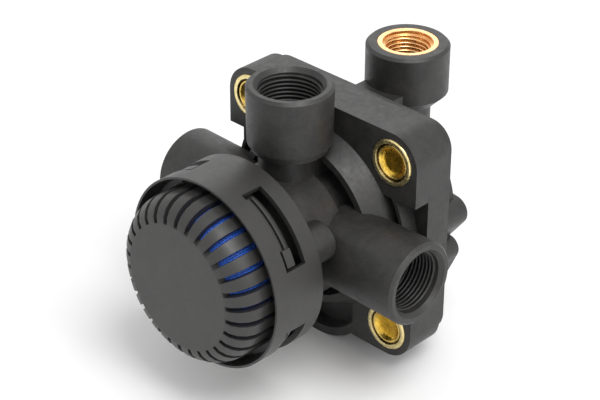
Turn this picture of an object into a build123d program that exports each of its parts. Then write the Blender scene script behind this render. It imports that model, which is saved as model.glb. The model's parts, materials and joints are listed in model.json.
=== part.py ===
from build123d import *
import math
import os

# Air brake relay valve, millimetres, +Z up.
# The origin is the centre of the rear mounting face, on the valve axis. +Y points out of that
# face, and the silencer is at the other end, towards -Y. Port 1, the supply, points up. The two
# delivery ports, number 2, point left and right. Port 4, the control, points up from the cover.

# Clearances and small edges
RUNNING = 0.15            # radial gap of a sliding piece in its bore
SEAL_GAP = 0.06           # radial gap of a sliding seal to the wall that it wipes
SEAT_GAP = 0.05           # gap of a moving seat at its closed end
SCREW_GAP = 0.5           # radial gap of a screw in a clearance hole
EDGE_R = 1.0              # rounding of moulded edges

# Flanges and the parting plane
PARTING_AHEAD = 26.6      # parting plane, ahead of the mounting face
FLANGE_SIDE = 88.0
FLANGE_CORNER_R = 11.0
BODY_FLANGE_T = 8.4
COVER_FLANGE_T = 7.1
SCREW_SPACING = 66.0
EAR_GAP = 38.8            # height between the ears at each side of the body's flange
EAR_WEB_T = 1.8           # what is left of the flange between the ears
RIM_R = 40.0              # round rib of the body's flange between the ears
RIM_T = 1.4
LOBE_R = 24.3             # round lobe below the body's flange
LOBE_DROP = 26.0
LOBE_RIM_T = 3.2
LOBE_POCKET_W = 34.0
LOBE_FLOOR_T = 2.4

# Ports: thread radii are the major radii, M22x1.5 and M16x1.5
PORT_BOSS_R = 15.0
PORT_DRAFT = 1.0          # degrees, the bosses thin towards the core
PORT_THREAD_R = 11.0
PORT_THREAD_LENGTH = 16.0
PORT_MOUTH_R = 12.4
PORT_MOUTH_DEPTH = 1.6
DELIVERY_AHEAD = 10.1     # axis of the delivery ports, ahead of the flange's front face
DELIVERY_REACH = 55.9
DELIVERY_DUCT_R = 5.8
SUPPLY_AHEAD = 14.6
SUPPLY_REACH = 56.0
SUPPLY_BOSS_LENGTH = 21.0
SUPPLY_STEP_R = 13.2      # short step below the supply boss
SUPPLY_STEP_LENGTH = 2.6
SUPPLY_NECK_R = 9.0
SUPPLY_NECK_AHEAD = 2.5   # the neck's section reaches this far ahead, over the slanting duct
SUPPLY_DUCT_R = 4.5
SUPPLY_WEB_W = 13.0
CONTROL_BEHIND = 9.8      # axis of the control port, behind the mounting face
CONTROL_REACH = 50.5
CONTROL_BOSS_LENGTH = 22.5
CONTROL_BOTTOM_R = 4.5
BUSH_R = 10.9
BUSH_LENGTH = 13.0
BUSH_THREAD_R = 8.0
BUSH_MOUTH_R = 8.9
BUSH_MOUTH_DEPTH = 1.5
CONTROL_DUCT_R = 4.0

# Body core, from the piston chamber to the exhaust neck
RING_AHEAD = 8.0
RING_FRONT_R = 31.0
RING_ROOT_R = 35.0
RING_WALL = 2.6
CHAMBER_FLOOR_BEHIND = 2.0
WAIST_R = 21.0
CORE_REAR_AHEAD = 12.0
CORE_R = 25.0
NECK_REAR_AHEAD = 34.1    # where the core ends and the collar starts
NECK_R = 24.0
NECK_LENGTH = 10.5
LUG_R = 7.0               # round lug between the collar and the right-hand port
LUG_X = 25.0
LUG_Z = 11.0
LUG_LENGTH = 11.5
LUG_BEVEL = 3.0

# Inside: delivery cavity, inlet seat and supply chamber
DELIVERY_R = 17.0
DELIVERY_FLOOR_AHEAD = 16.0
SEAT_WALL_T = 2.6
SEAT_R = 8.5
SEAT_LIP_W = 1.0
SEAT_LIP_H = 0.8
SUPPLY_R = 15.0
GUIDE_R = 16.0
GUIDE_LENGTH = 6.5
GUIDE_STEP_AHEAD = 27.0

# Relay piston
PISTON_R = 27.0
PISTON_T = 7.0
PISTON_STOP = 3.0         # height of the roof's stop pad above the roof
PISTON_BOSS_R = 8.0
CHAMBER_DEPTH = 13.6      # from the parting plane to the cover's chamber roof
STEM_R = 6.8
STEM_LIP_W = 1.1
PISTON_RIM_W = 4.6
PISTON_WEB_T = 2.4
PISTON_RIBS = 6
PISTON_RIB_W = 2.0
SEAL_SECTION = 3.0
SEAL_BEHIND = 4.4         # seal's middle plane, from the piston head's front face

# Valve element
EXHAUST_GAP = 1.0
RUBBER_R = 11.2
RUBBER_BORE_R = 4.6
RUBBER_T = 2.2
SLEEVE_R = 7.0
SLEEVE_WALL = 1.4
SLEEVE_HEAD_T = 1.6
SLEEVE_LENGTH = 15.5
SPRING_WIRE_R = 0.6
SPRING_R = 9.4
SPRING_TURNS = 2.5
SPRING_GROUND = 0.15      # ground off the wire at each end
SPRING_STEPS = 20         # straight steps in a turn
SPRING_SIDES = 6
GUIDE_FLOOR_T = 3.4
GUIDE_WALL = 2.0
GUIDE_HUB_LENGTH = 3.0
GUIDE_SEAL = 1.6
RING_T = 1.2
RING_GROOVE_DEPTH = 1.2
RING_OPENING = 30.0       # degrees

# Silencer
COLLAR_R = 34.5
COLLAR_WALL = 2.0
COLLAR_LENGTH = 21.7
COLLAR_RIM_T = 0.8        # the wall thins inside towards the front rim
COLLAR_FLARE_LENGTH = 6.0
COLLAR_HUB_WALL = 2.5
COLLAR_BACK_T = 2.5
WINDOW_FRONT = 6.8        # front edge of the collar's windows, behind its front rim
WINDOW_LENGTH = 8.6
WINDOW_ANGLE = 50.0
CAGE_FRONT_AHEAD = 67.7
CAGE_FLAT_R = 22.3
CAGE_R = 30.4
CAGE_SHOULDER = 10.0
CAGE_WALL = 2.2
CAGE_BANDS = 5            # straight bands that round the cage's shoulder
INNER_BANDS = 2           # the same inside the cage and on the element
CAGE_SLOTS = 30
CAGE_SLOT_ANGLE = 4.0     # degrees, the slots' walls are radial
CAGE_SLOT_INNER_R = 22.9
CAGE_SKIRT_REAR_AHEAD = 42.0
CAGE_SLOT_REAR_AHEAD = 50.5
HOOK_FROM = 32.0          # the hook's tongue in the first window, in degrees from +X
HOOK_TO = 67.0
HOOK_RECESS = 1.2         # tongue's outside below the collar's outside
HOOK_LENGTH = 4.0
HOOK_GROOVE_W = 1.1
HOOK_GROOVE_DEPTH = 1.0
HOOK_LUG_ANGLE = 10.0     # higher lug beside the tongue
HOOK_LUG_RECESS = 0.2
HOOK_LUG_LENGTH = 3.4
HOOK_LUG_BEHIND = 1.0
ELEMENT_GAP = 0.5
ELEMENT_BORE_R = 19.0

# Cover back
STEP_SIDE = 84.0
STEP_BEHIND = 11.6        # step's rear face, behind the parting plane
DOME_R = 34.0
DOME_BEHIND_FACE = 2.0     # the dome ends this far ahead of the mounting face
EAR_R = 5.5
EAR_X = 33.0
PLATE_HUB_R = 10.0        # raises the plate's upper edge between the ears
EAR_LOW_X = 31.0
EAR_LOW_Z = -16.0
EAR_LOW_R = 4.5
PLATE_BOTTOM_X = 22.0
PLATE_BOTTOM_Z = -36.0
CORE_DEPTH = 9.0          # two cored pockets in the lower half of the mounting face
CORE_W = 14.0
CORE_H = 15.0
CORE_X = 10.5
CORE_Z = -25.0
CORE_CORNER_R = 2.5
ARM_W = 17.8
ARM_TOP = 36.6
ARM_BOTTOM = 11.0
COVER_SEAL_R = 29.6
COVER_SEAL_SECTION = 2.4

# Fasteners
INSERT_RIM_R = 8.5
INSERT_BODY_R = 7.4
INSERT_RIM_T = 1.6
INSERT_PROUD = 0.6        # the rim stands out of the flange's face
INSERT_DISH_R = 5.6
INSERT_DISH_DEPTH = 2.0
SCREW_R = 3.0             # M6
SCREW_ENGAGEMENT = 5.4
SCREW_HEAD_R = 5.6
SCREW_HEAD_T = 4.2
SCREW_DRIVE_R = 2.4
SCREW_POCKET_R = 7.5
MOUNT_SPACING = 56.0
MOUNT_THREAD_R = 4.0      # M8
MOUNT_INSERT_R = 5.4
MOUNT_INSERT_LENGTH = 10.0

# Stations along the axis
y_part = -PARTING_AHEAD
y_front = y_part - BODY_FLANGE_T
y_cover = y_part + COVER_FLANGE_T
y_step = y_part + STEP_BEHIND
y_roof = y_part + CHAMBER_DEPTH


def ahead(distance):
    return y_front - distance


y_supply = ahead(SUPPLY_AHEAD)
y_delivery = ahead(DELIVERY_AHEAD)
y_core = ahead(CORE_REAR_AHEAD)
y_neck = ahead(NECK_REAR_AHEAD)
y_mouth = y_neck - NECK_LENGTH
y_floor = ahead(DELIVERY_FLOOR_AHEAD)
y_seat_wall = y_floor - SEAT_WALL_T
y_seat = y_seat_wall - SEAT_LIP_H
y_guide = ahead(GUIDE_STEP_AHEAD)
y_ring = y_guide - GUIDE_LENGTH
y_rubber = y_seat - SEAT_GAP
y_sleeve = y_rubber - RUBBER_T
y_piston_rear = y_roof - PISTON_STOP - SEAT_GAP
y_piston = y_piston_rear - PISTON_T
y_collar = y_neck - COLLAR_LENGTH
y_cage = ahead(CAGE_FRONT_AHEAD)
y_skirt = ahead(CAGE_SKIRT_REAR_AHEAD)
diagonals = [(sx, sz) for sz in (1, -1) for sx in (-1, 1)]


def disc(radius, y0, y1, x=0.0, z=0.0):
    return Pos(x, (y0 + y1) / 2, z) * Rot(90, 0, 0) * Cylinder(radius, abs(y1 - y0))


def tube(outer, inner, y0, y1):
    return disc(outer, y0, y1) - disc(inner, y0, y1)


def turned(points):
    return revolve(make_face(Polyline(*points, close=True)), Axis.Y)


def cone_y(r0, y0, r1, y1):
    return turned([(0, y0), (r0, y0), (r1, y1), (0, y1)])


def plate(sketch, y0, y1):
    return extrude(Plane.XZ.offset(-y1) * sketch, amount=y1 - y0)


def upright(radius, z0, z1, x=0.0, y=0.0):
    return Pos(x, y, (z0 + z1) / 2) * Cylinder(radius, z1 - z0)


def hull_sketch(circles):
    return make_hull([edge for r, x, z in circles for edge in (Pos(x, z) * Circle(r)).edges()])


def port_boss(reach, inner):
    # A boss that stands along +Z from the height inner up to its rim, drafted towards the core
    thin_r = PORT_BOSS_R - math.tan(math.radians(PORT_DRAFT)) * (reach - inner)
    boss = Pos(0, 0, inner) * Cone(thin_r, PORT_BOSS_R, reach - inner,
                                   align=(Align.CENTER, Align.CENTER, Align.MIN))
    return chamfer(boss.edges().group_by(Axis.Z)[-1], EDGE_R)


def port_bore(reach):
    thread = upright(PORT_THREAD_R, reach - PORT_THREAD_LENGTH, reach)
    mouth = Pos(0, 0, reach - PORT_MOUTH_DEPTH) * Cone(
        PORT_THREAD_R, PORT_MOUTH_R, PORT_MOUTH_DEPTH, align=(Align.CENTER, Align.CENTER, Align.MIN))
    return thread + mouth


def sideways(shape, side):
    # Turns a shape that stands along +Z towards +X or -X, at the delivery ports' height
    return Pos(0, y_delivery, 0) * Rot(0, 90 * side, 0) * shape


def body_flange():
    outline = RectangleRounded(FLANGE_SIDE, FLANGE_SIDE, FLANGE_CORNER_R)
    lobe = Pos(0, -LOBE_DROP) * Circle(LOBE_R)
    flange = plate(outline + lobe, y_front, y_part)
    # Between the ears only a thin web and the round rib are left
    belt = Rectangle(2 * FLANGE_SIDE, EAR_GAP)
    moat = Circle(RIM_R - RIM_T) - Circle(RING_ROOT_R)
    flange -= plate((belt - Circle(RIM_R)) + (belt & moat), y_front, y_part - EAR_WEB_T)
    inside = Pos(0, -LOBE_DROP) * Circle(LOBE_R - LOBE_RIM_T)
    pocket = (inside & Rectangle(LOBE_POCKET_W, 2 * FLANGE_SIDE)) - Circle(RING_ROOT_R)
    return flange - plate(pocket, y_front, y_part - LOBE_FLOOR_T)


def body_outside():
    root_r = (DELIVERY_R + WAIST_R) / 2
    shape = body_flange()
    ring = cone_y(RING_FRONT_R, ahead(RING_AHEAD), RING_ROOT_R, y_front)
    ring -= disc(RING_FRONT_R - RING_WALL, ahead(RING_AHEAD), y_front - EDGE_R)
    shape += ring
    shape += disc(WAIST_R, y_core, y_front)
    shape += disc(CORE_R, y_neck, y_core)
    shape += disc(NECK_R, y_mouth, y_neck)
    for side in (-1, 1):
        shape += sideways(port_boss(DELIVERY_REACH, root_r), side)
    z_supply = SUPPLY_REACH - SUPPLY_BOSS_LENGTH
    shape += Pos(0, y_supply, 0) * port_boss(SUPPLY_REACH, z_supply)
    shape += upright(SUPPLY_STEP_R, z_supply - SUPPLY_STEP_LENGTH, z_supply, y=y_supply)
    neck = hull_sketch([(SUPPLY_NECK_R, 0, y_supply), (SUPPLY_NECK_R, 0, y_supply - SUPPLY_NECK_AHEAD)])
    shape += Pos(0, 0, root_r) * extrude(neck, amount=z_supply - root_r)
    web_length = y_front - y_supply + EDGE_R
    shape += Pos(0, y_supply, root_r) * Box(
        SUPPLY_WEB_W, web_length, z_supply - root_r, align=(Align.CENTER, Align.MIN, Align.MIN))
    lug = disc(LUG_R, y_neck, y_neck + LUG_LENGTH, LUG_X, LUG_Z)
    return shape + chamfer(lug.edges().group_by(Axis.Y)[-1], LUG_BEVEL)


def supply_duct():
    # Slants forward from the bottom of the supply thread into the supply chamber
    top = Vector(0, y_supply, SUPPLY_REACH - PORT_THREAD_LENGTH)
    bottom = Vector(0, y_seat_wall - SUPPLY_DUCT_R, SUPPLY_R - SUPPLY_DUCT_R / 2)
    run = bottom - top
    start = top - run.normalized() * SUPPLY_DUCT_R
    return Plane(origin=start, z_dir=run) * Cylinder(
        SUPPLY_DUCT_R, run.length + SUPPLY_DUCT_R, align=(Align.CENTER, Align.CENTER, Align.MIN))


def body_inside():
    y_chamber = y_front + CHAMBER_FLOOR_BEHIND
    hollow = disc(PISTON_R, y_chamber, y_part)
    hollow += disc(DELIVERY_R, y_floor, y_chamber)
    hollow += disc(SEAT_R, y_seat, y_floor)
    chamber = disc(SUPPLY_R, y_guide, y_seat_wall)
    chamber -= tube(SEAT_R + SEAT_LIP_W, SEAT_R, y_seat, y_seat_wall)
    hollow += chamber
    hollow += disc(GUIDE_R, y_mouth, y_guide)
    hollow += disc(GUIDE_R + RING_GROOVE_DEPTH, y_ring - RING_T, y_ring)
    for side in (-1, 1):
        duct = upright(DELIVERY_DUCT_R, (SEAT_R + DELIVERY_R) / 2, DELIVERY_REACH - PORT_THREAD_LENGTH)
        hollow += sideways(port_bore(DELIVERY_REACH) + duct, side)
    hollow += Pos(0, y_supply, 0) * port_bore(SUPPLY_REACH)
    hollow += supply_duct()
    return hollow


def insert_space(x, z):
    return (disc(INSERT_BODY_R, y_front, y_part, x, z)
            + disc(INSERT_RIM_R, y_front - INSERT_PROUD, y_front + INSERT_RIM_T, x, z))


def valve_body():
    shape = body_outside() - body_inside()
    for sx, sz in diagonals:
        shape -= insert_space(sx * SCREW_SPACING / 2, sz * SCREW_SPACING / 2)
    return shape


def flange_insert(x, z):
    y_rim = y_front - INSERT_PROUD
    shape = insert_space(x, z) - disc(INSERT_DISH_R, y_rim, y_rim + INSERT_DISH_DEPTH, x, z)
    return shape - disc(SCREW_R, y_part - SCREW_ENGAGEMENT, y_part, x, z)


def cover_screw(x, z):
    head_seat = y_cover
    shape = disc(SCREW_R, y_part - SCREW_ENGAGEMENT, head_seat, x, z)
    shape += disc(SCREW_HEAD_R, head_seat, head_seat + SCREW_HEAD_T, x, z)
    drive = RegularPolygon(SCREW_DRIVE_R, 6)
    top = head_seat + SCREW_HEAD_T
    return shape - plate(Pos(x, z) * drive, top - SCREW_HEAD_T / 2, top)


def mounting_plate():
    ears = hull_sketch([(EAR_R, -EAR_X, 0), (PLATE_HUB_R, 0, 0), (EAR_R, EAR_X, 0)]
                       + [(EAR_LOW_R, side * PLATE_BOTTOM_X, EAR_LOW_Z) for side in (-1, 1)])
    lower = hull_sketch([(EAR_LOW_R, side * EAR_LOW_X, EAR_LOW_Z) for side in (-1, 1)]
                        + [(EAR_LOW_R, side * PLATE_BOTTOM_X, PLATE_BOTTOM_Z) for side in (-1, 1)])
    block = plate(ears + lower, y_step, 0)
    for side in (-1, 1):
        core = Pos(side * CORE_X, CORE_Z) * RectangleRounded(CORE_W, CORE_H, CORE_CORNER_R)
        block -= plate(core, -CORE_DEPTH, 0)
    return block


def control_arm():
    # A web with a round end carries the control port's boss and holds its duct
    web = Pos(0, (CONTROL_BEHIND + y_step) / 2) * Rectangle(ARM_W, CONTROL_BEHIND - y_step)
    end = Pos(0, CONTROL_BEHIND) * Circle(ARM_W / 2)
    arm = Pos(0, 0, ARM_BOTTOM) * extrude(web + end, amount=ARM_TOP - ARM_BOTTOM)
    boss = upright(PORT_BOSS_R, CONTROL_REACH - CONTROL_BOSS_LENGTH, CONTROL_REACH, y=CONTROL_BEHIND)
    boss = chamfer(boss.edges().group_by(Axis.Z)[-1], EDGE_R)
    boss = chamfer(boss.edges().group_by(Axis.Z)[0], CONTROL_BOTTOM_R)
    return arm + boss


def rear_cover():
    flange = plate(RectangleRounded(FLANGE_SIDE, FLANGE_SIDE, FLANGE_CORNER_R), y_part, y_cover)
    step_corner = FLANGE_CORNER_R - (FLANGE_SIDE - STEP_SIDE) / 2
    step = plate(RectangleRounded(STEP_SIDE, STEP_SIDE, step_corner), y_cover, y_step)
    shape = flange + step + disc(DOME_R, y_step, -DOME_BEHIND_FACE) + mounting_plate() + control_arm()
    shape -= disc(PISTON_R, y_part, y_roof)
    shape += disc(PISTON_BOSS_R, y_roof - PISTON_STOP, y_roof)
    seal = COVER_SEAL_SECTION / 2
    shape -= tube(COVER_SEAL_R + seal, COVER_SEAL_R - seal, y_part, y_part + COVER_SEAL_SECTION)
    for sx, sz in diagonals:
        x, z = sx * SCREW_SPACING / 2, sz * SCREW_SPACING / 2
        shape -= disc(SCREW_R + SCREW_GAP, y_part, y_cover, x, z)
        shape -= disc(SCREW_POCKET_R, y_cover, y_step, x, z)
    for side in (-1, 1):
        shape -= disc(MOUNT_INSERT_R, -MOUNT_INSERT_LENGTH, 0, side * MOUNT_SPACING / 2)
    # Control duct: down from the bush, then forward into the chamber behind the piston
    duct_z = ARM_BOTTOM + 2 * CONTROL_DUCT_R
    shape -= upright(BUSH_R, CONTROL_REACH - BUSH_LENGTH, CONTROL_REACH, y=CONTROL_BEHIND)
    shape -= upright(CONTROL_DUCT_R, duct_z, CONTROL_REACH, y=CONTROL_BEHIND)
    shape -= disc(CONTROL_DUCT_R, y_roof - EDGE_R, CONTROL_BEHIND, 0, duct_z)
    return shape


def control_port_bush():
    shape = upright(BUSH_R, CONTROL_REACH - BUSH_LENGTH, CONTROL_REACH, y=CONTROL_BEHIND)
    shape -= upright(BUSH_THREAD_R, CONTROL_REACH - BUSH_LENGTH, CONTROL_REACH, y=CONTROL_BEHIND)
    return shape - upright(BUSH_MOUTH_R, CONTROL_REACH - BUSH_MOUTH_DEPTH, CONTROL_REACH,
                           y=CONTROL_BEHIND)


def square_ring(radius, section, y):
    return tube(radius + section / 2, radius - section / 2, y - section / 2, y + section / 2)


def cover_seal():
    return square_ring(COVER_SEAL_R, COVER_SEAL_SECTION, y_part + COVER_SEAL_SECTION / 2)


def relay_piston():
    r = PISTON_R - RUNNING
    y_lip = y_rubber + EXHAUST_GAP + SEAT_GAP
    head = disc(r, y_piston, y_piston_rear)
    seal_y = y_piston + SEAL_BEHIND
    half = SEAL_SECTION / 2
    head -= tube(PISTON_R, PISTON_R - SEAL_GAP - SEAL_SECTION, seal_y - half, seal_y + half)
    rim_r = r - PISTON_RIM_W - SEAL_SECTION
    recess = Circle(rim_r) - Circle(STEM_R + SLEEVE_WALL)
    for number in range(PISTON_RIBS):
        rib = Pos(rim_r / 2, 0) * Rectangle(rim_r, PISTON_RIB_W)
        recess -= Rot(0, 0, 360 / PISTON_RIBS * (number + 0.5)) * rib
    head -= plate(recess, y_piston, y_piston_rear - PISTON_WEB_T)
    shape = head + disc(STEM_R, y_lip, y_piston_rear)
    shape -= disc(STEM_R - STEM_LIP_W, y_lip, y_lip + EXHAUST_GAP)
    return shape


def piston_seal():
    return square_ring(PISTON_R - SEAL_GAP - SEAL_SECTION / 2, SEAL_SECTION, y_piston + SEAL_BEHIND)


def valve_rubber():
    return tube(RUBBER_R, RUBBER_BORE_R, y_sleeve, y_rubber)


def valve_sleeve():
    shape = disc(RUBBER_R, y_sleeve - SLEEVE_HEAD_T, y_sleeve)
    shape += disc(SLEEVE_R, y_sleeve - SLEEVE_LENGTH, y_sleeve)
    return shape - disc(SLEEVE_R - SLEEVE_WALL, y_sleeve - SLEEVE_LENGTH, y_sleeve)


def valve_guide():
    shape = tube(GUIDE_R, GUIDE_R - GUIDE_WALL, y_ring, y_guide)
    shape += disc(GUIDE_R, y_ring, y_ring + GUIDE_FLOOR_T)
    hub_r = SLEEVE_R + GUIDE_SEAL + GUIDE_WALL
    shape += disc(hub_r, y_ring - GUIDE_HUB_LENGTH, y_ring)
    shape -= disc(SLEEVE_R + RUNNING, y_ring - GUIDE_HUB_LENGTH, y_guide)
    y_outer = y_ring + GUIDE_FLOOR_T / 2
    y_inner = y_ring - GUIDE_HUB_LENGTH / 2
    half = GUIDE_SEAL / 2
    shape -= tube(GUIDE_R, GUIDE_R - GUIDE_SEAL, y_outer - half, y_outer + half)
    inner = SLEEVE_R + SEAL_GAP
    shape -= tube(inner + GUIDE_SEAL, inner, y_inner - half, y_inner + half)
    return shape


def guide_outer_seal():
    return square_ring(GUIDE_R - GUIDE_SEAL / 2, GUIDE_SEAL, y_ring + GUIDE_FLOOR_T / 2)


def guide_inner_seal():
    return square_ring(SLEEVE_R + SEAL_GAP + GUIDE_SEAL / 2, GUIDE_SEAL, y_ring - GUIDE_HUB_LENGTH / 2)


def retaining_ring():
    outer = GUIDE_R + RING_GROOVE_DEPTH
    inner = GUIDE_R - RING_GROOVE_DEPTH
    half = math.radians(RING_OPENING / 2)
    far = 2 * outer
    gap = Polygon((0, 0), (-far * math.sin(half), -far * math.cos(half)),
                  (far * math.sin(half), -far * math.cos(half)), align=None)
    return plate(Circle(outer) - Circle(inner) - gap, y_ring - RING_T, y_ring)


def valve_spring():
    # A helix of short straight steps, its end turns ground flat on the guide and the sleeve
    y_seat_low = y_ring + GUIDE_FLOOR_T
    y_seat_high = y_sleeve - SLEEVE_HEAD_T
    start = y_seat_low + SPRING_WIRE_R - SPRING_GROUND
    rise = y_seat_high - SPRING_WIRE_R + SPRING_GROUND - start
    steps = round(SPRING_TURNS * SPRING_STEPS)
    points = []
    for number in range(steps + 1):
        turn = 2 * math.pi * number / SPRING_STEPS
        y = start + rise * number / steps
        points.append((SPRING_R * math.cos(turn), y, SPRING_R * math.sin(turn)))
    coil = Polyline(*points)
    section = Plane(origin=coil @ 0, z_dir=coil % 0) * RegularPolygon(SPRING_WIRE_R, SPRING_SIDES)
    wire = sweep(section, path=coil, transition=Transition.RIGHT)
    return wire & disc(2 * SPRING_R, y_seat_low, y_seat_high)


def sector(radius, start, end):
    # A wedge from the axis between two angles, for windows and hooks
    points = [(0, 0)]
    for turn in (start, (start + end) / 2, end):
        a = math.radians(turn)
        points.append((radius * math.cos(a), radius * math.sin(a)))
    return Polygon(*points, align=None)


def silencer_collar():
    y0, y1 = y_collar, y_neck
    inner = COLLAR_R - COLLAR_WALL
    shape = tube(COLLAR_R, inner, y0, y1)
    shape -= cone_y(COLLAR_R - COLLAR_RIM_T, y0, inner, y0 + COLLAR_FLARE_LENGTH)
    shape += tube(COLLAR_R, NECK_R, y1 - COLLAR_BACK_T, y1)
    shape += tube(NECK_R + COLLAR_HUB_WALL, NECK_R, y_mouth, y1)
    for middle in (45, 135, 225, 315):
        wedge = sector(2 * COLLAR_R, middle - WINDOW_ANGLE / 2, middle + WINDOW_ANGLE / 2)
        shape -= plate(wedge - Circle(inner - COLLAR_WALL), y0 + WINDOW_FRONT,
                       y0 + WINDOW_FRONT + WINDOW_LENGTH)
    return shape


def cage_profile(radius, flat, front, rear, shoulder, bands):
    # Half section: flat front, shoulder of straight bands along an ellipse, straight skirt
    arc = EllipticalCenterArc((flat, front + shoulder), radius - flat, shoulder,
                              start_angle=270, arc_size=90)
    points = [arc @ (step / bands) for step in range(bands + 1)]
    return make_face(Polyline((0, rear), (0, front), *points, (radius, rear), close=True))


def cage_shell():
    outer = cage_profile(CAGE_R, CAGE_FLAT_R, y_cage, y_skirt, CAGE_SHOULDER, CAGE_BANDS)
    inner = cage_profile(CAGE_R - CAGE_WALL, CAGE_FLAT_R - CAGE_WALL / 2, y_cage + CAGE_WALL,
                         y_skirt, CAGE_SHOULDER - CAGE_WALL / 2, INNER_BANDS)
    return revolve(outer - inner, Axis.Y)


def hook(turn):
    # A grooved tongue that bears on the front edge of the collar's window, with a higher lug
    y0 = y_collar + WINDOW_FRONT
    root_r = CAGE_R - CAGE_WALL
    tongue_r = COLLAR_R - HOOK_RECESS
    tongue = sector(2 * COLLAR_R, HOOK_FROM + turn, HOOK_TO + turn)
    lug = sector(2 * COLLAR_R, HOOK_FROM - HOOK_LUG_ANGLE + turn, HOOK_FROM + turn)
    shape = plate(tongue & (Circle(tongue_r) - Circle(root_r)), y0, y0 + HOOK_LENGTH)
    middle = y0 + HOOK_LENGTH / 2
    shape -= tube(COLLAR_R, tongue_r - HOOK_GROOVE_DEPTH, middle, middle + HOOK_GROOVE_W)
    y_lug = y0 + HOOK_LUG_BEHIND
    ring = Circle(COLLAR_R - HOOK_LUG_RECESS) - Circle(root_r)
    return shape + plate(lug & ring, y_lug, y_lug + HOOK_LUG_LENGTH)


def silencer_cage():
    shape = cage_shell()
    y_slot = ahead(CAGE_SLOT_REAR_AHEAD)
    pitch = 360 / CAGE_SLOTS
    slots = []
    for number in range(CAGE_SLOTS):
        middle = pitch * (number + 0.5)
        wedge = sector(2 * CAGE_R, middle - CAGE_SLOT_ANGLE / 2, middle + CAGE_SLOT_ANGLE / 2)
        slots.append(plate(wedge - Circle(CAGE_SLOT_INNER_R), y_cage, y_slot))
    shape -= slots
    for turn in (0, 90, 180, 270):
        shape += hook(turn)
    return shape


def silencer_element():
    gap = CAGE_WALL + ELEMENT_GAP
    outer = cage_profile(CAGE_R - gap, CAGE_FLAT_R - gap / 2, y_cage + gap, y_mouth,
                         CAGE_SHOULDER - gap / 2, INNER_BANDS)
    return revolve(outer, Axis.Y) - disc(ELEMENT_BORE_R, y_cage, y_mouth)


def mounting_insert(side):
    x = side * MOUNT_SPACING / 2
    return disc(MOUNT_INSERT_R, -MOUNT_INSERT_LENGTH, 0, x) - disc(
        MOUNT_THREAD_R, -MOUNT_INSERT_LENGTH, 0, x)


parts = {
    "valve_body": valve_body(),
    "rear_cover": rear_cover(),
    "cover_seal": cover_seal(),
    "control_port_bush": control_port_bush(),
    "relay_piston": relay_piston(),
    "piston_seal": piston_seal(),
    "valve_rubber": valve_rubber(),
    "valve_sleeve": valve_sleeve(),
    "valve_spring": valve_spring(),
    "valve_guide": valve_guide(),
    "guide_outer_seal": guide_outer_seal(),
    "guide_inner_seal": guide_inner_seal(),
    "retaining_ring": retaining_ring(),
    "silencer_collar": silencer_collar(),
    "silencer_cage": silencer_cage(),
    "silencer_element": silencer_element(),
    "mounting_insert_left": mounting_insert(-1),
    "mounting_insert_right": mounting_insert(1),
}
for number, (sx, sz) in enumerate(diagonals, start=1):
    x, z = sx * SCREW_SPACING / 2, sz * SCREW_SPACING / 2
    parts[f"flange_insert_{number}"] = flange_insert(x, z)
    parts[f"cover_screw_{number}"] = cover_screw(x, z)

os.makedirs("parts", exist_ok=True)
for name, shape in parts.items():
    export_step(shape, f"parts/{name}.step")
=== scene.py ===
import json
import math

import bmesh
import bpy
from mathutils import Matrix, Vector


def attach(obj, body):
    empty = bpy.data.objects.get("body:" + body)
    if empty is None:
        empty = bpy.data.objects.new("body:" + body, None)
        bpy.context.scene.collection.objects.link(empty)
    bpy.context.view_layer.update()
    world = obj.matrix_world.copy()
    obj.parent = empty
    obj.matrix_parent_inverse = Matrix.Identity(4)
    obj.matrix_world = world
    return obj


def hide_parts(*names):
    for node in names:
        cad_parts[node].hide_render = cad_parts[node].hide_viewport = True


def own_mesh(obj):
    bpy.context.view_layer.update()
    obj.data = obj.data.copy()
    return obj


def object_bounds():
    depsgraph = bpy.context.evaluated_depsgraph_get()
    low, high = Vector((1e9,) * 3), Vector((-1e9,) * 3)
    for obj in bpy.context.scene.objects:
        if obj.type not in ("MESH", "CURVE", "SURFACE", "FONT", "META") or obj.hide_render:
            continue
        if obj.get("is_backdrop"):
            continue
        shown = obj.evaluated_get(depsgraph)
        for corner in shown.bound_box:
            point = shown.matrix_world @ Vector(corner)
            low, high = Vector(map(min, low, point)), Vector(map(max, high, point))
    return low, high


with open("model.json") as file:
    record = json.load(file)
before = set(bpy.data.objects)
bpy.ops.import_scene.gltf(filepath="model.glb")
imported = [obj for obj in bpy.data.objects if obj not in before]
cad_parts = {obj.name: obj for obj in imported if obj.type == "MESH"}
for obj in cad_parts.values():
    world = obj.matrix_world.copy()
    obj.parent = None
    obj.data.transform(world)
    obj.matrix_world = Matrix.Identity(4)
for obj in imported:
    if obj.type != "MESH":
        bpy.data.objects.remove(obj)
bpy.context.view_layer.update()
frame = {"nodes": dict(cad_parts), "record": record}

MM = 0.001
NODES = frame["nodes"]
SLOT_OF = {entry["node"]: entry["material_slot"] for entry in frame["record"]["subparts"]}

# The photograph's camera, in the frame's millimetres and degrees
IMAGE_W = 600
FOCAL_PX = 1923.9
SENSOR_W = 36.0
CAMERA_AZIMUTH = 43.9
CAMERA_ELEVATION = 31.03
CAMERA_ROLL = 0.32
CAMERA_DISTANCE = 662.9
CAMERA_TARGET = (0.48, -45.0, 9.18)

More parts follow.
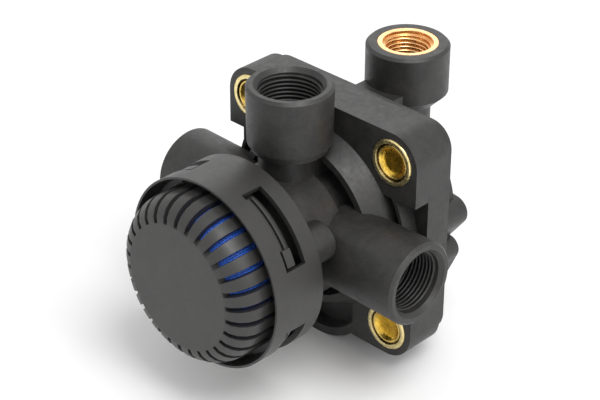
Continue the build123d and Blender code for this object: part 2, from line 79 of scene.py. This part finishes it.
# Threads: pitches, and the ridge's shape as shares of the pitch, millimetres
PORT_PITCH = 1.5
MOUNT_PITCH = 1.25
THREAD_DEPTH = 0.54
THREAD_CREST = 0.14
THREAD_ROOT = 0.46
THREAD_STEPS = 56         # steps in a turn
THREAD_EMBED = 0.05
PORT_R = 11.0
PORT_LENGTH = 16.0
PORT_MOUTH_DEPTH = 1.6
SUPPLY_TOP = 56.0
SUPPLY_Y = -49.6
DELIVERY_END = 55.9
DELIVERY_Y = -45.1
CONTROL_TOP = 50.5
CONTROL_Y = 9.8
BUSH_R = 8.0
BUSH_LENGTH = 13.0
BUSH_MOUTH_DEPTH = 1.5
MOUNT_X = 28.0
MOUNT_R = 4.0
MOUNT_LENGTH = 10.0

# Stamped flange inserts: their places, and the turned section as (radius, y)
INSERT_PLACE = 33.0
INSERT_SECTION = [
    (3.0, -26.6), (7.4, -26.6), (7.4, -33.4), (8.5, -33.4), (8.5, -35.15), (8.38, -35.42),
    (8.1, -35.57), (7.7, -35.6), (7.1, -35.58), (6.8, -35.45), (6.62, -35.15), (6.5, -34.8),
    (6.36, -34.8), (6.2, -35.05), (5.95, -35.18), (5.6, -35.12), (5.25, -34.8), (4.95, -34.35),
    (4.5, -33.98), (3.7, -33.75), (2.4, -33.66), (1.0, -33.7), (0.0, -33.74), (0.0, -32.0),
    (3.0, -32.0)]
TURN_STEPS = 64

# The surround: what the world gives as light, and the floor's colour
WORLD_LIGHT = 0.7
FLOOR_COLOUR = 0.97

# Knitted silencer filling, inside the cage: its outer section follows the CAD solid's
KNIT_R = 27.7
KNIT_FLAT_R = 20.95
KNIT_FRONT = -100.0
KNIT_REAR = -79.6
KNIT_SHOULDER = 8.65
KNIT_BORE_R = 19.0
KNIT_CORE_INSET = 0.75
YARN_R = 0.23
YARN_INSET = 0.42
YARN_SIDES = 5
YARN_POINTS = 10          # points in a stitch
YARN_DEPTH = 0.16
YARN_LOOP = 0.2           # sideways swing of a loop, as a share of its width
COURSE_PITCH = 1.3
COURSE_REACH = 0.95       # height of a loop, as a share of the pitch
WALES = 104
KNIT_FIRST = 1.0          # arc lengths where the yarn starts and ends
KNIT_LAST = 19.0


# Node helpers for materials
def new_material(name):
    material = bpy.data.materials.new(name)
    material.use_nodes = True
    tree = material.node_tree
    return material, tree, tree.nodes["Principled BSDF"]


def object_coordinates(tree, scale=(1, 1, 1)):
    coordinates = tree.nodes.new("ShaderNodeTexCoord")
    mapping = tree.nodes.new("ShaderNodeMapping")
    mapping.inputs["Scale"].default_value = scale
    tree.links.new(coordinates.outputs["Object"], mapping.inputs["Vector"])
    return mapping.outputs["Vector"]


def noise(tree, vector, scale, detail=4.0, roughness=0.55, distortion=0.0):
    node = tree.nodes.new("ShaderNodeTexNoise")
    node.inputs["Scale"].default_value = scale
    node.inputs["Detail"].default_value = detail
    node.inputs["Roughness"].default_value = roughness
    node.inputs["Distortion"].default_value = distortion
    tree.links.new(vector, node.inputs["Vector"])
    return node.outputs["Fac"]


def ramp(tree, factor, stops):
    node = tree.nodes.new("ShaderNodeValToRGB")
    elements = node.color_ramp.elements
    while len(elements) < len(stops):
        elements.new(0.5)
    for element, (position, colour) in zip(elements, stops):
        element.position = position
        element.color = (*colour, 1)
    tree.links.new(factor, node.inputs["Fac"])
    return node.outputs["Color"]


def remap(tree, factor, low, high):
    node = tree.nodes.new("ShaderNodeMapRange")
    node.inputs["From Min"].default_value = 0.3
    node.inputs["From Max"].default_value = 0.7
    node.inputs["To Min"].default_value = low
    node.inputs["To Max"].default_value = high
    tree.links.new(factor, node.inputs["Value"])
    return node.outputs["Result"]


def math_node(tree, operation, first, second=None):
    node = tree.nodes.new("ShaderNodeMath")
    node.operation = operation
    for socket, value in zip(node.inputs, (first, second)):
        if value is None:
            continue
        if isinstance(value, (int, float)):
            socket.default_value = value
        else:
            tree.links.new(value, socket)
    return node.outputs["Value"]


def bump(tree, shader, layers):
    # Stacks bump layers given as (height, strength, distance in millimetres)
    normal = None
    for height, strength, distance in layers:
        node = tree.nodes.new("ShaderNodeBump")
        node.inputs["Strength"].default_value = strength
        node.inputs["Distance"].default_value = distance * MM
        tree.links.new(height, node.inputs["Height"])
        if normal:
            tree.links.new(normal, node.inputs["Normal"])
        normal = node.outputs["Normal"]
    tree.links.new(normal, shader.inputs["Normal"])


def grey(value, warmth=0.0):
    return (value * (1 + warmth), value, value * (1 - warmth))


def moulded_plastic(name, low, high, rough_low, rough_high, grain, specular=0.5):
    # Black glass-filled nylon: cloudy patches, flow marks, fibre specks and a fine grain
    material, tree, shader = new_material(name)
    vector = object_coordinates(tree)
    clouds = noise(tree, vector, 140.0, 6.0, 0.62, 0.5)
    specks = noise(tree, vector, 1500.0, 3.0, 0.7)
    mixed = math_node(tree, "ADD", math_node(tree, "MULTIPLY", clouds, 0.6),
                      math_node(tree, "MULTIPLY", specks, 0.4))
    colour = ramp(tree, mixed, [(0.36, grey(low, 0.03)), (0.52, grey((low + high) / 2, 0.04)),
                                (0.66, grey(high, 0.06))])
    tree.links.new(colour, shader.inputs["Base Color"])
    patches = noise(tree, vector, 420.0, 6.0, 0.7, 0.8)
    tree.links.new(remap(tree, patches, rough_low, rough_high), shader.inputs["Roughness"])
    shader.inputs["Specular IOR Level"].default_value = specular
    waves = noise(tree, vector, 420.0, 3.0, 0.6, 0.4)
    bump(tree, shader, [(waves, grain, 0.18), (specks, grain, 0.06)])
    return material


def metal(name, colour, darker, roughness_low, roughness_high):
    material, tree, shader = new_material(name)
    vector = object_coordinates(tree)
    tint = noise(tree, vector, 300.0, 3.0)
    tree.links.new(ramp(tree, tint, [(0.3, darker), (0.7, colour)]), shader.inputs["Base Color"])
    shader.inputs["Metallic"].default_value = 1.0
    spots = noise(tree, vector, 900.0, 4.0)
    tree.links.new(remap(tree, spots, roughness_low, roughness_high), shader.inputs["Roughness"])
    bump(tree, shader, [(noise(tree, vector, 1600.0, 2.0), 0.2, 0.04)])
    return material


def stamped_brass(name):
    # Pale rim lightened as a painted highlight, a dark ring of painted shade in the groove and a
    # golden, uneven dish, by the distance from each axis
    material, tree, shader = new_material(name)
    vector = object_coordinates(tree)
    split = tree.nodes.new("ShaderNodeSeparateXYZ")
    tree.links.new(vector, split.inputs["Vector"])
    sides = []
    for axis in ("X", "Z"):
        side = math_node(tree, "SUBTRACT", math_node(tree, "ABSOLUTE", split.outputs[axis]),
                         INSERT_PLACE * MM)
        sides.append(math_node(tree, "MULTIPLY", side, side))
    radius = math_node(tree, "SQRT", math_node(tree, "ADD", *sides))
    share = math_node(tree, "DIVIDE", radius, 10 * MM)
    # Brass colours by radius: the dark ring at the groove is painted shade, the pale outer rim a
    # painted highlight
    brass_with_painted_light = ramp(tree, share, [
        (0.0, (0.66, 0.37, 0.035)), (0.42, (0.78, 0.46, 0.05)), (0.5, (0.92, 0.60, 0.10)),
        (0.59, (0.95, 0.70, 0.22)), (0.63, (0.10, 0.055, 0.01)), (0.66, (0.10, 0.055, 0.01)),
        (0.70, (1.0, 0.84, 0.42)), (0.86, (0.96, 0.78, 0.36))])
    patches = noise(tree, vector, 520.0, 3.0, 0.5, 1.2)
    shade = ramp(tree, patches, [(0.36, grey(0.72)), (0.6, grey(1.0))])
    mix = tree.nodes.new("ShaderNodeMix")
    mix.data_type = "RGBA"
    mix.blend_type = "MULTIPLY"
    mix.inputs["Factor"].default_value = 1.0
    tree.links.new(brass_with_painted_light, mix.inputs["A"])
    tree.links.new(shade, mix.inputs["B"])
    tree.links.new(mix.outputs["Result"], shader.inputs["Base Color"])
    shader.inputs["Metallic"].default_value = 1.0
    tree.links.new(remap(tree, patches, 0.2, 0.36), shader.inputs["Roughness"])
    bump(tree, shader, [(patches, 0.5, 0.25), (noise(tree, vector, 1800.0, 2.0), 0.2, 0.03)])
    return material


def yarn(name, dark, bright):
    material, tree, shader = new_material(name)
    vector = object_coordinates(tree)
    fibres = noise(tree, vector, 2400.0, 3.0, 0.6)
    tree.links.new(ramp(tree, fibres, [(0.35, dark), (0.65, bright)]), shader.inputs["Base Color"])
    shader.inputs["Roughness"].default_value = 0.42
    shader.inputs["Sheen Weight"].default_value = 0.25
    bump(tree, shader, [(fibres, 0.4, 0.05)])
    return material


def rubber(name):
    material, tree, shader = new_material(name)
    vector = object_coordinates(tree)
    colour = ramp(tree, noise(tree, vector, 500.0), [(0.3, grey(0.006)), (0.7, grey(0.014))])
    tree.links.new(colour, shader.inputs["Base Color"])
    shader.inputs["Roughness"].default_value = 0.75
    bump(tree, shader, [(noise(tree, vector, 3000.0), 0.3, 0.04)])
    return material


MATERIALS = {
    "housing_plastic": moulded_plastic("housing_plastic", 0.012, 0.034, 0.38, 0.56, 0.35),
    "silencer_plastic": moulded_plastic("silencer_plastic", 0.024, 0.032, 0.38, 0.48, 0.14),
    "silencer_mesh": yarn("silencer_mesh", (0.006, 0.06, 0.50), (0.03, 0.22, 0.95)),
    "insert_brass": stamped_brass("insert_brass"),
    "port_brass": metal("port_brass", (0.93, 0.60, 0.30), (0.80, 0.45, 0.19), 0.2, 0.32),
    "screw_steel": metal("screw_steel", (0.62, 0.62, 0.60), (0.50, 0.50, 0.50), 0.25, 0.4),
    "spring_steel": metal("spring_steel", (0.50, 0.50, 0.50), (0.40, 0.40, 0.40), 0.25, 0.4),
    "sleeve_aluminium": metal("sleeve_aluminium", (0.75, 0.75, 0.76), (0.65, 0.65, 0.66), 0.25, 0.4),
    "inner_plastic": moulded_plastic("inner_plastic", 0.42, 0.50, 0.4, 0.5, 0.15),
    "seal_rubber": rubber("seal_rubber"),
}
# Very dark blue for the filling's core: painted shade in the depth between the loops
KNIT_PAINTED_SHADE_CORE = yarn("knit_painted_shade_core", (0.001, 0.004, 0.03), (0.004, 0.02, 0.14))
MOUNT_BRASS = metal("mount_brass", (0.92, 0.68, 0.28), (0.80, 0.55, 0.18), 0.25, 0.4)

# Rounding of the moulded and turned edges, millimetres
EDGE_WIDTH = {"valve_body": 0.5, "rear_cover": 0.5, "silencer_collar": 0.3, "silencer_cage": 0.18,
              "control_port_bush": 0.25, "cover_screw": 0.3, "mounting_insert": 0.3}


def soften(piece, width):
    # Rounds the edges: weld, merge flat facets, bevel, then weigh the normals by area
    for polygon in piece.data.polygons:
        polygon.use_smooth = True
    weld = piece.modifiers.new("weld", "WELD")
    weld.merge_threshold = 1e-6
    flat = piece.modifiers.new("flat", "DECIMATE")
    flat.decimate_type = "DISSOLVE"
    flat.angle_limit = math.radians(0.05)
    edge = piece.modifiers.new("edge", "BEVEL")
    edge.width = width * MM
    edge.segments = 2
    edge.limit_method = "ANGLE"
    edge.angle_limit = math.radians(35)
    weigh = piece.modifiers.new("weigh", "WEIGHTED_NORMAL")
    weigh.weight = 60


def dress_nodes():
    for name, node in NODES.items():
        node.data.materials.clear()
        node.data.materials.append(MATERIALS[SLOT_OF[name]])
        if name.startswith("mounting_insert"):
            node.data.materials[0] = MOUNT_BRASS
        for start, width in EDGE_WIDTH.items():
            if name.startswith(start):
                soften(node, width)


def compress_spring():
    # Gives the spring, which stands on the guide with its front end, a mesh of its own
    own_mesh(NODES["valve_spring"])


def add_piece(name, points, faces, slot, body="housing", material=None):
    # Makes a piece from points in millimetres and turns its faces outward
    mesh = bpy.data.meshes.new(name)
    mesh.from_pydata([tuple(c * MM for c in point) for point in points], [], faces)
    shape = bmesh.new()
    shape.from_mesh(mesh)
    bmesh.ops.recalc_face_normals(shape, faces=shape.faces)
    shape.to_mesh(mesh)
    shape.free()
    for polygon in mesh.polygons:
        polygon.use_smooth = True
    mesh.materials.append(material or MATERIALS[slot])
    piece = bpy.data.objects.new(name, mesh)
    bpy.context.scene.collection.objects.link(piece)
    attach(piece, body)
    return piece


def loft(rings, closed):
    # Joins rings of points that have the same count; an open loft gets end caps
    count = len(rings[0])
    points = [point for ring in rings for point in ring]
    faces = []
    for number in range(len(rings) if closed else len(rings) - 1):
        here, there = number * count, (number + 1) % len(rings) * count
        for corner in range(count):
            after = (corner + 1) % count
            faces.append((here + corner, here + after, there + after, there + corner))
    if not closed:
        faces.append(tuple(range(count)))
        faces.append(tuple(range(len(points) - count, len(points))))
    return points, faces


def thread(name, slot, base, axis, radius, pitch, length, material=None):
    # A right-handed ridge that stands inward from the wall, and runs out into it at both ends
    base, axis = Vector(base), Vector(axis)
    u = axis.orthogonal().normalized()
    v = axis.cross(u)
    steps = int((length / pitch - 1) * THREAD_STEPS)
    run_out = THREAD_STEPS / 2
    rings = []
    for number in range(steps + 1):
        turn = 2 * math.pi * number / THREAD_STEPS
        along = (0.5 + number / THREAD_STEPS) * pitch
        grow = min(1.0, number / run_out, (steps - number) / run_out)
        crest_r = radius - THREAD_DEPTH * pitch * grow
        out = u * math.cos(turn) + v * math.sin(turn)
        ring = []
        for r, shift in ((radius, -THREAD_ROOT), (crest_r, -THREAD_CREST),
                         (crest_r, THREAD_CREST), (radius, THREAD_ROOT)):
            r += THREAD_EMBED
            ring.append(tuple(base + out * r + axis * (along + shift * pitch)))
        rings.append(ring)
    return add_piece(name, *loft(rings, False), slot, material=material)


def turned(section, x=0.0, z=0.0):
    # A closed section of (radius, y) turned about the Y axis; points on the axis are shared
    points, faces, rows = [], [], []
    for r, y in section:
        if r == 0.0:
            points.append((x, y, z))
            rows.append([len(points) - 1] * TURN_STEPS)
            continue
        rows.append(list(range(len(points), len(points) + TURN_STEPS)))
        for step in range(TURN_STEPS):
            a = 2 * math.pi * step / TURN_STEPS
            points.append((x + r * math.cos(a), y, z + r * math.sin(a)))
    for here, there in zip(rows, rows[1:] + rows[:1]):
        for step in range(TURN_STEPS):
            after = (step + 1) % TURN_STEPS
            corners = dict.fromkeys((here[step], here[after], there[after], there[step]))
            if len(corners) > 2:
                faces.append(tuple(corners))
    return points, faces


def flange_inserts():
    number = 0
    for sz in (1, -1):
        for sx in (-1, 1):
            number += 1
            points, faces = turned(INSERT_SECTION, sx * INSERT_PLACE, sz * INSERT_PLACE)
            piece = add_piece(f"stamped_insert_{number}", points, faces, "insert_brass")
            edge = piece.modifiers.new("edge", "BEVEL")
            edge.width = 0.1 * MM
            edge.segments = 2
            edge.limit_method = "ANGLE"
            edge.angle_limit = math.radians(60)
            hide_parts(f"flange_insert_{number}")


def knit_section(inset, s):
    # Point and outward normal at the arc length s along the filling's front shoulder and side
    half = math.pi / 2
    a = KNIT_R - KNIT_FLAT_R
    b = KNIT_SHOULDER
    arc = half * math.sqrt((a * a + b * b) / 2)
    if s < arc:
        t = s / arc * half
        r = KNIT_FLAT_R + a * math.sin(t)
        y = KNIT_FRONT + b * (1 - math.cos(t))
        normal = Vector((b * math.sin(t), -a * math.cos(t))).normalized()
    else:
        r, y = KNIT_R, KNIT_FRONT + b + s - arc
        normal = Vector((1, 0))
    return r - inset * normal[0], y - inset * normal[1], normal


def knit_painted_shade_core():
    # A navy sheet of painted shade for the depth of the filling between the loops, a closed turned
    # solid just under the yarn
    section = [(KNIT_BORE_R, KNIT_REAR), (KNIT_BORE_R, KNIT_FRONT + KNIT_CORE_INSET)]
    s = 0.0
    while True:
        r, y, _ = knit_section(KNIT_CORE_INSET, s)
        if y > KNIT_REAR:
            break
        section.append((r, y))
        s += 1.0
    section.append((KNIT_R - KNIT_CORE_INSET, KNIT_REAR))
    core = add_piece("knit_painted_shade_core", *turned(section), "silencer_mesh", material=KNIT_PAINTED_SHADE_CORE)
    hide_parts("silencer_element")


def knit_yarn():
    # Courses of interlocked loops, each course one closed strand round the axis
    points, faces = [], []
    courses = int((KNIT_LAST - KNIT_FIRST) / COURSE_PITCH)
    for course in range(courses + 1):
        line = []
        for number in range(WALES * YARN_POINTS):
            t = 2 * math.pi * number / YARN_POINTS
            wale = number / YARN_POINTS + YARN_LOOP * math.sin(2 * t)
            s = KNIT_FIRST + COURSE_PITCH * (course + COURSE_REACH * math.cos(t))
            r, y, normal = knit_section(YARN_INSET + YARN_DEPTH * math.cos(2 * t), max(s, 0.0))
            a = 2 * math.pi * wale / WALES
            line.append(Vector((r * math.cos(a), y, r * math.sin(a))))
        rings = []
        for number, here in enumerate(line):
            along = (line[(number + 1) % len(line)] - line[number - 1]).normalized()
            out = Vector((here.x, 0, here.z)).normalized()
            side = along.cross(out).normalized()
            up = side.cross(along)
            ring = []
            for corner in range(YARN_SIDES):
                a = 2 * math.pi * corner / YARN_SIDES
                ring.append(tuple(here + YARN_R * (side * math.cos(a) + up * math.sin(a))))
            rings.append(ring)
        strand, quads = loft(rings, True)
        faces += [tuple(corner + len(points) for corner in quad) for quad in quads]
        points += strand
    return add_piece("knit_yarn", points, faces, "silencer_mesh")


def threads():
    inner = SUPPLY_TOP - PORT_LENGTH
    length = PORT_LENGTH - PORT_MOUTH_DEPTH
    thread("thread_supply", "housing_plastic", (0, SUPPLY_Y, inner), (0, 0, 1), PORT_R,
           PORT_PITCH, length)
    for side, name in ((1, "right"), (-1, "left")):
        thread(f"thread_delivery_{name}", "housing_plastic",
               (side * (DELIVERY_END - PORT_LENGTH), DELIVERY_Y, 0), (side, 0, 0), PORT_R,
               PORT_PITCH, length)
        thread(f"thread_mount_{name}", "insert_brass", (side * MOUNT_X, -MOUNT_LENGTH, 0),
               (0, 1, 0), MOUNT_R, MOUNT_PITCH, MOUNT_LENGTH, MOUNT_BRASS)
    thread("thread_control", "port_brass", (0, CONTROL_Y, CONTROL_TOP - BUSH_LENGTH), (0, 0, 1),
           BUSH_R, PORT_PITCH, BUSH_LENGTH - BUSH_MOUTH_DEPTH)


def photo_camera():
    data = bpy.data.cameras.new("camera")
    data.lens = FOCAL_PX / IMAGE_W * SENSOR_W
    data.sensor_width = SENSOR_W
    camera = bpy.data.objects.new("camera", data)
    bpy.context.scene.collection.objects.link(camera)
    azimuth, elevation = math.radians(CAMERA_AZIMUTH), math.radians(CAMERA_ELEVATION)
    back = Vector((math.sin(azimuth) * math.cos(elevation),
                   -math.cos(azimuth) * math.cos(elevation), math.sin(elevation)))
    camera.location = (Vector(CAMERA_TARGET) + back * CAMERA_DISTANCE) * MM
    turn = (-back).to_track_quat("-Z", "Y").to_matrix() @ Matrix.Rotation(
        math.radians(CAMERA_ROLL), 3, "Z")
    camera.rotation_euler = turn.to_euler()
    data.clip_start, data.clip_end = 0.01, 20.0
    bpy.context.scene.camera = camera


def softbox(name, position, size, power, target=(0, -0.045, 0)):
    data = bpy.data.lights.new(name, "AREA")
    data.shape = "RECTANGLE"
    data.size, data.size_y = size
    data.energy = power
    lamp = bpy.data.objects.new(name, data)
    lamp.location = position
    lamp.rotation_euler = (Vector(target) - Vector(position)).to_track_quat("-Z", "Y").to_euler()
    bpy.context.scene.collection.objects.link(lamp)


def seen_directly(tree):
    # 1 for a ray of the camera, a reflection or glass, and 0 for the light that falls on things
    path = tree.nodes.new("ShaderNodeLightPath")
    seen = path.outputs["Is Camera Ray"]
    for name in ("Is Glossy Ray", "Is Transmission Ray"):
        seen = math_node(tree, "MAXIMUM", seen, path.outputs[name])
    return seen


def studio():
    world = bpy.data.worlds.new("studio")
    bpy.context.scene.world = world
    world.use_nodes = True
    tree = world.node_tree
    background = tree.nodes["Background"]
    background.inputs["Color"].default_value = (1, 1, 1, 1)
    strength = math_node(tree, "MULTIPLY", seen_directly(tree), 1 - WORLD_LIGHT)
    tree.links.new(math_node(tree, "ADD", strength, WORLD_LIGHT), background.inputs["Strength"])
    softbox("key", (0.5, -0.2, 0.9), (0.5, 0.5), 6.0)
    softbox("side", (1.0, 0.0, 0.5), (0.4, 0.5), 1.5)
    softbox("back", (-0.8, 0.9, 0.7), (1.0, 0.5), 2.0)
    floor_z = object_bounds()[0].z
    mesh = bpy.data.meshes.new("floor")
    reach = 3.0
    mesh.from_pydata([(-reach, -reach, floor_z), (reach, -reach, floor_z),
                      (reach, reach, floor_z), (-reach, reach, floor_z)], [], [(0, 1, 2, 3)])
    floor = bpy.data.objects.new("floor", mesh)
    bpy.context.scene.collection.objects.link(floor)
    material, tree, shader = new_material("floor")
    shader.inputs["Base Color"].default_value = (*grey(FLOOR_COLOUR), 1)
    shader.inputs["Roughness"].default_value = 0.9
    mesh.materials.append(material)
    floor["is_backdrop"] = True


dress_nodes()
compress_spring()
threads()
flange_inserts()
knit_painted_shade_core()
knit_yarn()
photo_camera()
studio()
bpy.context.scene.view_settings.view_transform = "Standard"
